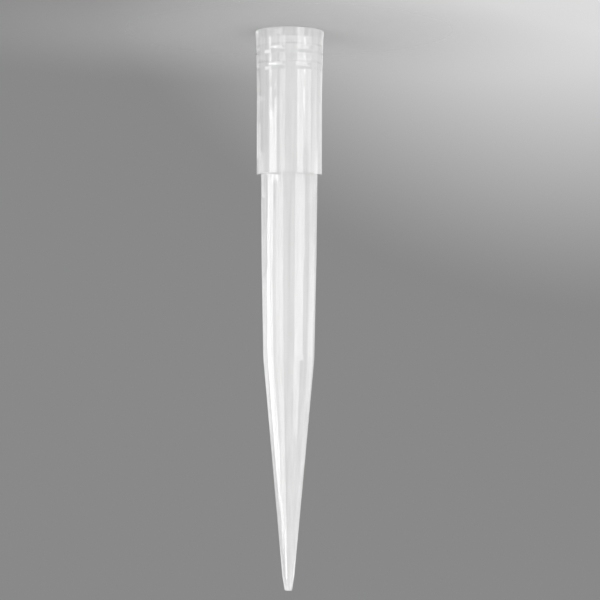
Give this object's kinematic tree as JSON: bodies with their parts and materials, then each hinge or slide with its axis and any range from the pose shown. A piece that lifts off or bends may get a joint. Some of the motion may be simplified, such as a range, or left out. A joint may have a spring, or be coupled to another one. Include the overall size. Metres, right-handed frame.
{
  "type": "pipette tip",
  "caption": "Hollow tapered tip moulded in natural translucent polypropylene: wide cylindrical collar with inner sealing beads, body and long cone to a fine point.",
  "frame": {"origin": "centre of the rim's plane, on which the tip stands with its mouth down", "axes": "+Z along the tip's axis, from the mouth up to the point; the tip is round, so X and Y are any two directions square to it"},
  "size_m": [0.0088, 0.0088, 0.071],
  "materials": {
    "natural_polypropylene": "natural, uncoloured polypropylene, injection-moulded in a polished mould: glossy, milky and translucent"
  },
  "bodies": {
    "root": {"pipette_tip": "natural_polypropylene"}
  },
  "joints": []
}
